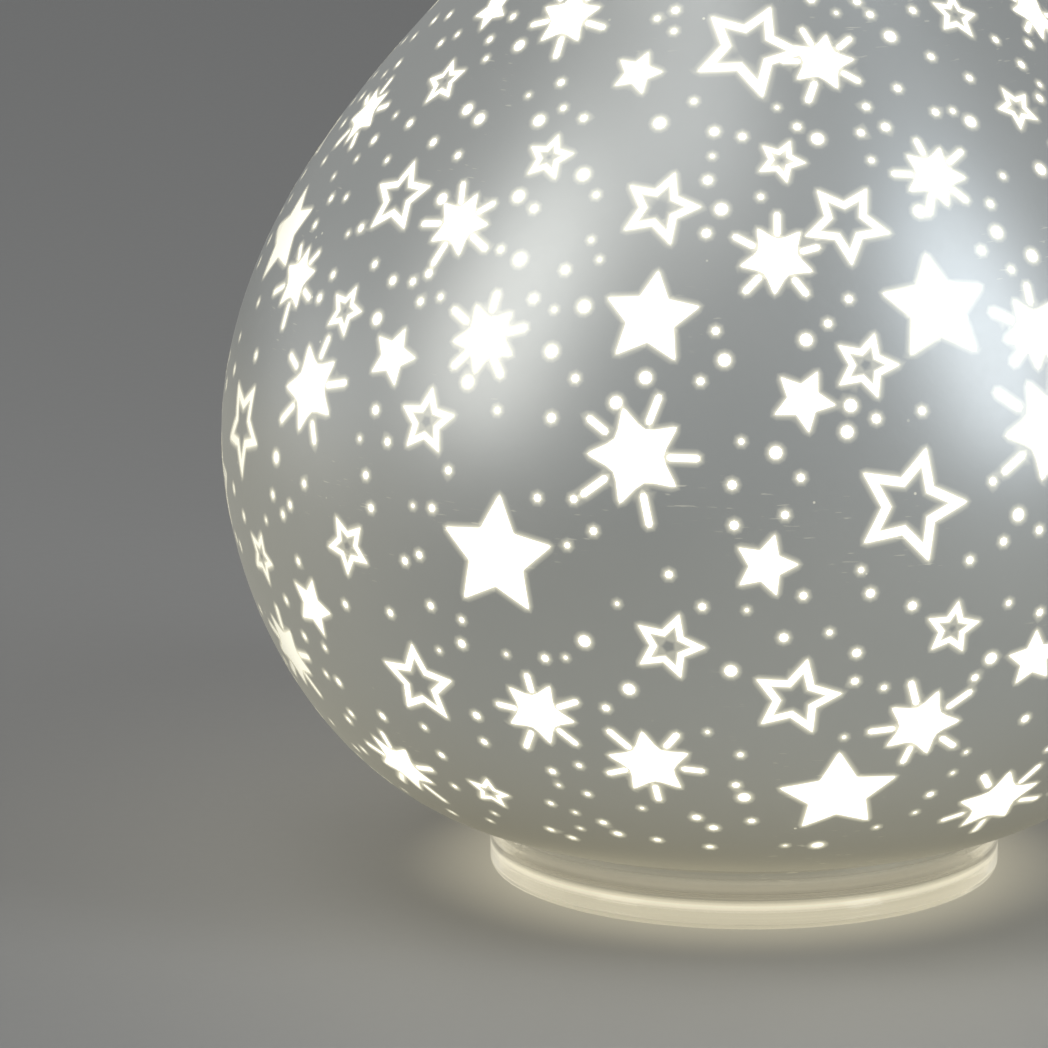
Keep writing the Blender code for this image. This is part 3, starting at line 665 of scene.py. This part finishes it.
def silverRecipe(place):  # thin silver: the lamp's light shines through worn specks and scratches; a painted halo round each star, painted glow over the lower half, the hem and the left flank, and painted shade low down
    look = coatLook
    height = place.axis("Z")
    cloud = place.noise(look["cloudGrain"], 3)
    grain = place.noise(look["fineGrain"], 3)
    # painted shade: the coat's colour is painted darker and warmer low down, and darker still near the
    # foot, where the belly turns away from the lights
    low = height.ramp(*look["lowFade"])
    base = low.colours(cloud.colours(*look["shades"]), look["paintedLowShade"])
    base = height.ramp(*look["footFade"]).colours(base, look["paintedFootShade"])
    patches = place.noise(look["speckPatches"], 1).ramp(0.52, 0.62)
    speck = place.cells(look["speckGrain"]).ramp(0.06, 0.03) * patches * height.ramp(*look["speckFoot"])
    patches = place.noise(look["scratchPatches"], 1).ramp(0.56, 0.64)
    scratch = place.stretched((0.10, 0.10, 1)).noise(look["scratchGrain"], 1).ramp(0.70, 0.74) * patches
    litFlank = place.axis("X").ramp(*look["litFlank"]) * height.ramp(*look["litFlankTop"])
    # painted glow: the halo round the stars stands in for bloom, plus an even glow, more low down, on the
    # left flank and at the hem; only the specks and scratches are real wear letting the lamp's light
    # through
    glowAndLeak = haloField(place) * 0.6 + low * 0.02 + height.ramp(*look["glowFade"]) * 0.035 + 0.045
    glowAndLeak = glowAndLeak + speck * 0.35 + scratch * 0.16 + litFlank * 0.07 + height.ramp(*look["hemGlow"]) * 0.07
    edge = height + grain * 0.2 * mm
    return {
        "Base Color": base,
        "Roughness": 0.34 + cloud * 0.07 + grain * 0.06,
        "Emission Color": glowAndLeak.colours((0, 0, 0, 1), look["glow"]),
        "Alpha": edge.ramp(*drop["coatFade"]),
        "Normal": grain.bump(0.02 * mm, 0.5),
    }


silverCoat = newMaterial("silver_coat", {"Metallic": 0.8, "Emission Strength": 1.0}, silverRecipe)


def starRecipe(place):  # dimmer round the left side and low down
    etch = place.noise(0.7 * mm, 3)
    bright = place.noise(30 * mm, 1).colours((1.0, 0.94, 0.74, 1), (1.0, 0.96, 0.79, 1))
    dim = place.axis("X").ramp(-52 * mm, -80 * mm) + place.axis("Z").ramp(34 * mm, 18 * mm) * 0.8
    return {
        "Base Color": etch.colours((0.90, 0.88, 0.80, 1), (0.96, 0.95, 0.90, 1)),
        "Roughness": 0.45 + etch * 0.2,
        "Emission Color": dim.colours(bright, (0.53, 0.51, 0.40, 1)),
        "Normal": etch.bump(0.01 * mm, 0.4),
    }


etchedGlass = newMaterial("etched_glass", {"Emission Strength": 1.9, "Coat Weight": 1.0}, starRecipe)


collarLight = {  # where each glow starts and where it is full
    "rim": (3.7 * mm, 3.2 * mm),
    "lineTop": (4.5 * mm, 4.1 * mm),
    "lineFoot": (3.3 * mm, 3.8 * mm),
    "shadeTop": (7.0 * mm, 6.2 * mm),
    "shadeFoot": (4.6 * mm, 5.4 * mm),
    "band": (12 * mm, 8.5 * mm),
    "ends": (30 * mm, 43 * mm),
    "endsTop": (10.5 * mm, 8 * mm),
}


def glassRecipe(place):  # painted glow: emission on the glass stands in for the unit's light running down inside the wall and coming out at the rounded rim; painted shade dims a stripe of the band and painted glow lights the two ends
    height = place.axis("Z")
    waves = place.stretched((6, 6, 900)).noise(0.6, 2)
    rim = height.ramp(*collarLight["rim"])
    line = height.ramp(*collarLight["lineTop"]) * height.ramp(*collarLight["lineFoot"])
    shade = height.ramp(*collarLight["shadeTop"]) * height.ramp(*collarLight["shadeFoot"])
    band = height.ramp(*collarLight["band"]) * (1 - shade * 0.4)
    ends = place.axis("X").maths("ABSOLUTE").ramp(*collarLight["ends"])
    ends = ends * height.ramp(*collarLight["endsTop"])
    lit = rim * 0.05 + line * 0.155 + band * (0.045 + waves * 0.13) + ends * 0.03
    return {
        "Base Color": waves.colours((0.74, 0.71, 0.62, 1), (0.82, 0.80, 0.73, 1)),
        "Roughness": 0.03 + place.noise(4 * mm, 2) * 0.06,
        "Emission Color": lit.colours((0, 0, 0, 1), (1.0, 0.94, 0.76, 1)),
        "Normal": waves.bump(0.06 * mm, 0.5),
    }


glassLook = {"Transmission Weight": 1.0, "IOR": 1.5, "Emission Strength": 1.0}
clearGlass = newMaterial("clear_glass", glassLook, glassRecipe)


def turnedMesh(name, profile, segments, closed=False):  # a section turned about the upright axis
    area = sum(a[0] * b[1] - b[0] * a[1] for a, b in zip(profile, profile[1:] + profile[:1]))
    profile = profile if area > 0 else profile[::-1]  # up the outer side, so that faces look outwards
    coords, rings, faces = [], [], []
    for radius, height in profile:
        count = 1 if radius < 0.002 * mm else segments  # an end on the axis is a single point
        rings.append([len(coords) + i % count for i in range(segments + 1)])
        turns = [math.tau * i / segments for i in range(count)]
        coords += [(radius * math.cos(turn), radius * math.sin(turn), height) for turn in turns]
    for low, high in zip(rings, rings[1:] + (rings[:1] if closed else [])):
        for i in range(segments):
            corners = (low[i], low[i + 1], high[i + 1], high[i])
            faces.append(list(dict.fromkeys(corners)))
    mesh = bpy.data.meshes.new(name)
    mesh.from_pydata(coords, [], faces)
    mesh.polygons.foreach_set("use_smooth", [True] * len(mesh.polygons))
    return mesh


def arcPoints(centre, radius, start, end, count):
    for i in range(count + 1):
        angle = math.radians(start + (end - start) * i / count)
        yield centre[0] + radius * math.cos(angle), centre[1] + radius * math.sin(angle)


def wallProfile():  # the whole glass in section: outer side up, rounded rim, stepped bore, inner side
    gap = drop["wallInset"]
    outline = dropOutline(48)
    along = np.gradient(outline, axis=0)
    along /= np.linalg.norm(along, axis=1)[:, None]
    inward = np.stack([-along[:, 1], along[:, 0]], 1)
    body = outline[:, 1] > drop["foot"][1]
    under = outline + inward * np.where(body, gap, 0)[:, None]
    throatRadius, throatTop = drop["throat"]
    easeOut, easeUp = drop["throatEase"]
    inset = outline + inward * drop["wall"]
    belly = inset[body & (inset[:, 0] > throatRadius + drop["throatGap"])]
    belly = belly[(belly[:, 1] > throatTop + easeUp) & (belly[:, 1] < drop["hollowBelly"])]
    neckLow, neckHigh = drop["hollowNeck"]
    neck = inset[(outline[:, 1] > neckLow) & (outline[:, 1] < neckHigh)]
    rimOut = list(arcPoints((drop["collar"][0] - drop["rimRound"], drop["rimRound"]), drop["rimRound"],
                            -90, 0, 6))
    rimIn = list(arcPoints((drop["bore"] + drop["rimRound"], drop["rimRound"]), drop["rimRound"],
                           180, 270, 6))
    low, high = drop["shoulder"]
    bore = [(throatRadius + easeOut, throatTop + easeUp), (throatRadius, throatTop), (throatRadius, high),
            (drop["bore"], low)]
    tip = list(arcPoints((0, drop["tip"][1]), drop["tip"][0] - gap, 15, 90, 5))
    inside = [tuple(p) for p in np.concatenate([belly, neck])[::-1]]
    apex = (0, inside[0][1] + drop["hollowCap"])
    outer = [tuple(p) for p in under[1:]]
    return [apex] + inside + bore + rimIn + rimOut[1:] + outer + tip


def makeDrop():
    flat, faces, clear = triangulate()
    print("skin triangulated:", len(faces), "faces")
    coatFaces = [face for face, isClear in zip(faces, clear) if not isClear]
    starFaces = [face for face, isClear in zip(faces, clear) if isClear]
    coatMesh = skinMesh("silver_coat", flat, coatFaces, drop["coatInset"], True)
    starMesh = skinMesh("etched_stars", flat, starFaces, drop["starInset"], False)
    coat = addPiece("silver_coat", coatMesh, silverCoat, "glass")
    stars = addPiece("etched_stars", starMesh, etchedGlass, "glass")
    wall = addPiece("glass_wall", turnedMesh("glass_wall", wallProfile(), 160), clearGlass, "glass")
    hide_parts("glass_drop")


makeDrop()
print("drop made")


def plasticRecipe(colour, shade, lit):  # lit is how strongly the plastic glows
    def recipe(place):
        grain = place.noise(0.35 * mm, 2)
        cloud = place.noise(14 * mm, 2)
        made = {
            "Base Color": cloud.colours(colour, shade),
            "Roughness": 0.32 + grain * 0.16,
            "Normal": grain.bump(0.015 * mm, 0.5),
        }
        if lit:
            warm, pale = (lit, lit * 0.94, lit * 0.78, 1), (lit * 1.15, lit * 1.1, lit * 0.95, 1)
            made["Emission Color"] = cloud.colours(warm, pale)
        return made
    return recipe


def metalRecipe(colour, shade):
    def recipe(place):
        brushed = place.stretched((1, 1, 9)).noise(0.9 * mm, 3)
        return {
            "Base Color": brushed.colours(colour, shade),
            "Roughness": 0.22 + brushed * 0.2,
            "Normal": brushed.bump(0.01 * mm, 0.4),
        }
    return recipe


def boardRecipe(colour, track):
    def recipe(place):
        lines = place.cells(3.2 * mm, "DISTANCE_TO_EDGE").ramp(0.09, 0.05)
        weave = place.noise(0.4 * mm, 2)
        return {
            "Base Color": lines.colours(colour, track),
            "Roughness": 0.34 + weave * 0.18,
            "Normal": (weave * 0.3 + lines).bump(0.03 * mm, 0.6),
        }
    return recipe


def domeRecipe(place):  # brightest beside the LEDs, softer towards the crown
    grain = place.noise(0.5 * mm, 2)
    cloud = place.noise(16 * mm, 2)
    light = place.axis("Z").ramp(74 * mm, 32 * mm) * 0.42 + cloud * 0.08 + 0.34
    return {
        "Base Color": cloud.colours((0.90, 0.88, 0.81, 1), (0.95, 0.94, 0.88, 1)),
        "Roughness": 0.38 + grain * 0.16,
        "Emission Color": light.colours((0, 0, 0, 1), (1.0, 0.93, 0.76, 1)),
        "Normal": grain.bump(0.015 * mm, 0.5),
    }


def cellRecipe(place):  # dark jacket with a copper end at both sides
    band = place.axis("X").maths("ABSOLUTE").ramp(12 * mm, 12.2 * mm)
    scuff = place.stretched((1, 5, 5)).noise(2 * mm, 3)
    return {
        "Base Color": band.colours((0.03, 0.035, 0.045, 1), (0.52, 0.34, 0.16, 1)),
        "Roughness": 0.22 + scuff * 0.25,
        "Normal": scuff.bump(0.01 * mm, 0.3),
    }


# Light unit: a smooth dome and a ribbed seal stand in for their plainer CAD solids

domeLow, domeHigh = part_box("diffuser_dome")
dome = {
    "radius": domeHigh[0],
    "top": domeHigh[2],
    "foot": domeLow[2],
    "spring": 41 * mm,
    "wall": 1.6 * mm,
    "groove": (34 * mm, 0.3 * mm),
    "footRound": 0.5 * mm,
}
sealLow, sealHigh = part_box("seal_ring")
seal = {
    "outside": 40.6 * mm,
    "inside": 38.12 * mm,
    "low": sealLow[2],
    "lipTop": sealHigh[2],
    "shoulder": 6 * mm,
    "lipRadius": 38.4 * mm,
    "ribs": 3,
    "ribDepth": 0.55 * mm,
    "round": 0.2 * mm,
}


def domeProfile():
    radius, spring, wall = dome["radius"], dome["spring"], dome["wall"]
    crown, inside = [], []
    for i in range(25):
        angle = math.radians(90 - 90 * i / 24)
        rise = dome["top"] - spring
        crown.append((radius * math.cos(angle), spring + rise * math.sin(angle)))
        inside.append(((radius - wall) * math.cos(angle), spring + (rise - wall) * math.sin(angle)))
    middle, depth = dome["groove"]
    groove = [(radius, middle + 3 * depth), (radius - depth, middle + depth),
              (radius - depth, middle - depth), (radius, middle - 3 * depth)]
    bend = dome["footRound"]
    foot = list(arcPoints((radius - bend, dome["foot"] + bend), bend, 0, -90, 4))
    foot += arcPoints((radius - wall + bend, dome["foot"] + bend), bend, -90, -180, 4)
    return crown + groove + foot + inside[::-1]


def sealProfile():
    height = seal["shoulder"] - seal["low"]
    ribs = []
    for i in range(8 * seal["ribs"] + 1):
        share = i / (8 * seal["ribs"])
        hollow = 0.5 - 0.5 * math.cos(math.tau * seal["ribs"] * share)
        ribs.append((seal["outside"] - seal["round"] - seal["ribDepth"] * (1 - hollow),
                     seal["low"] + height * share))
    lip = [(seal["lipRadius"], seal["lipTop"]), (seal["inside"], seal["lipTop"]),
           (seal["inside"], seal["low"])]
    return ribs + lip


def makeUnitSkins():
    domeMesh = turnedMesh("milky_dome", domeProfile(), 96)
    domePiece = addPiece("milky_dome", domeMesh, milkyPlastic, "light_unit")
    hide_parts("diffuser_dome")
    sealMesh = turnedMesh("ribbed_seal", sealProfile(), 96, True)
    sealPiece = addPiece("ribbed_seal", sealMesh, softRubber, "light_unit")
    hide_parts("seal_ring")


milkyPlastic = newMaterial("milky_plastic", {"Emission Strength": 1.0}, domeRecipe)
# the soft rubber's faint glow is painted light
rubberRecipe = plasticRecipe((0.72, 0.71, 0.66, 1), (0.80, 0.79, 0.75, 1), 0.06)
softRubber = newMaterial("soft_rubber", {"Emission Strength": 1.0}, rubberRecipe)
makeUnitSkins()
print("dome and seal made")


unitPlastics = {  # two shades, glow, and the CAD parts in it; the glow of the white plastic is painted light, only the LED lenses are lamps
    "white_plastic": ((0.80, 0.80, 0.76, 1), (0.86, 0.86, 0.83, 1), 0.06, ("base_housing", "top_cover")),
    "door_plastic": ((0.80, 0.80, 0.77, 1), (0.86, 0.86, 0.84, 1), 0, ("battery_door", "switch_lead")),
    "black_plastic": ((0.02, 0.02, 0.022, 1), (0.035, 0.035, 0.036, 1), 0,
                      ("switch_knob", "timer_chip", "resistor", "battery_lead_minus", "led_lead_minus")),
    "red_plastic": ((0.48, 0.02, 0.015, 1), (0.58, 0.035, 0.02, 1), 0,
                    ("battery_lead_plus", "led_lead_plus")),
    "led_lens": ((0.95, 0.85, 0.55, 1), (0.98, 0.9, 0.65, 1), 3.0,
                 ("led_1", "led_2", "led_3", "led_4", "led_5", "led_6")),
}
unitMetals = {  # two shades and the CAD parts in it
    "steel": ((0.52, 0.52, 0.53, 1), (0.66, 0.66, 0.66, 1),
              ("cover_screw_1", "cover_screw_2", "cover_screw_3", "board_screw_1", "board_screw_2",
               "contact_spring_1", "contact_spring_2", "contact_spring_3", "switch_body")),
    "nickel": ((0.62, 0.58, 0.50, 1), (0.74, 0.70, 0.62, 1),
               ("bridge_plate_1", "bridge_plate_2", "terminal_minus", "terminal_plus")),
    "aluminium": ((0.68, 0.68, 0.70, 1), (0.8, 0.8, 0.81, 1), ("capacitor",)),
}
unitBoards = {  # lacquer, tracks and the CAD part in it
    "white_board": ((0.84, 0.85, 0.82, 1), (0.70, 0.72, 0.68, 1), ("led_board",)),
    "green_board": ((0.025, 0.15, 0.07, 1), (0.06, 0.27, 0.13, 1), ("control_board",)),
}


def dye(material, names):
    for name in names:
        mesh = nodes[name].data
        mesh.materials.clear()
        mesh.materials.append(material)


def dyeUnit():
    for name, (first, second, lit, parts) in unitPlastics.items():
        glowing = {"Emission Strength": 1.0} if lit else {}
        dye(newMaterial(name, glowing, plasticRecipe(first, second, lit)), parts)
    for name, (first, second, parts) in unitMetals.items():
        dye(newMaterial(name, {"Metallic": 1.0}, metalRecipe(first, second)), parts)
    for name, (lacquer, track, parts) in unitBoards.items():
        dye(newMaterial(name, {}, boardRecipe(lacquer, track)), parts)
    jacket = newMaterial("cell_jacket", {"Metallic": 0.4}, cellRecipe)
    dye(jacket, ("battery_1", "battery_2", "battery_3"))


dyeUnit()
print("light unit dyed")

studio = {
    "world": (0.30, 0.305, 0.31),
    "floorNearLit": (0.52, 0.517, 0.50, 1),
    "floorFar": (0.36, 0.36, 0.355, 1),
    "floorLeftShade": (0.31, 0.31, 0.305, 1),
    "floorHalf": 6.0,
    "poolNear": (62 * mm, 42 * mm),  # the lamp's own light round its foot
    "poolFar": (180 * mm, 50 * mm),
    "lights": [
        ("left_box", (-0.90, -0.50, 0.74), 0.46, 1.00, (1.0, 0.965, 0.90), 2.85),
        ("right_box", (0.92, -0.55, 0.68), 0.38, 1.00, (0.90, 0.95, 1.0), 3.5),
        ("top_box", (-0.22, -0.40, 1.20), 0.50, 0.40, (1.0, 0.98, 0.95), 0.75),
        ("side_box", (-1.15, 0.34, 0.20), 0.70, 0.40, (1.0, 0.97, 0.92), 0.4),
    ],
    "lightAim": (0, 0, 0.08),
}


def floorRecipe(place):
    fine = place.noise(2.5 * mm, 3)
    # painted light: the floor is painted lighter towards the camera and to the right, painted shade
    # darkens it to the left of the lamp, and the pool round the foot is painted glow
    near = place.axis("Y").ramp(0.45, -0.6) * (1 + place.axis("X") * 2.6)
    near = near + (place.noise(0.35, 2) - 0.5) * 0.15
    left = place.axis("X").ramp(-0.02, -0.18) * place.axis("Y").ramp(0.16, -0.04)
    base = near.colours(studio["floorFar"], studio["floorNearLit"])
    away = place.node("ShaderNodeVectorMath", {0: place}, {"operation": "LENGTH"}, 1)
    pool = away.ramp(*studio["poolNear"]) * 0.175 + away.ramp(*studio["poolFar"]) * 0.035
    return {
        "Emission Color": pool.colours((0, 0, 0, 1), (1.0, 0.92, 0.68, 1)),
        "Base Color": (left * 0.6).colours(base, studio["floorLeftShade"]),
        "Roughness": 0.55 + fine * 0.1,
        "Normal": fine.bump(0.02 * mm, 0.2),
    }


def makeStudio():
    half = studio["floorHalf"]
    mesh = bpy.data.meshes.new("floor")
    mesh.from_pydata([(-half, -half, 0), (half, -half, 0), (half, half, 0), (-half, half, 0)], [],
                     [(0, 1, 2, 3)])
    floor = bpy.data.objects.new("floor", mesh)
    bpy.context.scene.collection.objects.link(floor)
    mesh.materials.append(newMaterial("pale_floor", {"Emission Strength": 1.0}, floorRecipe))
    floor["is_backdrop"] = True
    world = bpy.data.worlds.new("studio")
    world.use_nodes = True
    world.node_tree.nodes["Background"].inputs["Color"].default_value = (*studio["world"], 1)
    bpy.context.scene.world = world
    for name, place, width, height, colour, power in studio["lights"]:
        data = bpy.data.lights.new(name, "AREA")
        data.shape = "RECTANGLE"
        data.size, data.size_y = width, height
        data.color = colour
        data.energy = power
        light = bpy.data.objects.new(name, data)
        bpy.context.scene.collection.objects.link(light)
        light.location = place
        line = Vector(studio["lightAim"]) - Vector(place)
        light.rotation_euler = line.to_track_quat("-Z", "Y").to_euler()


makeStudio()
bpy.context.scene.view_settings.view_transform = "Standard"
print("studio made")

boxes = [[list(map(float, corner)) for corner in box] for box in (cadBox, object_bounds())]
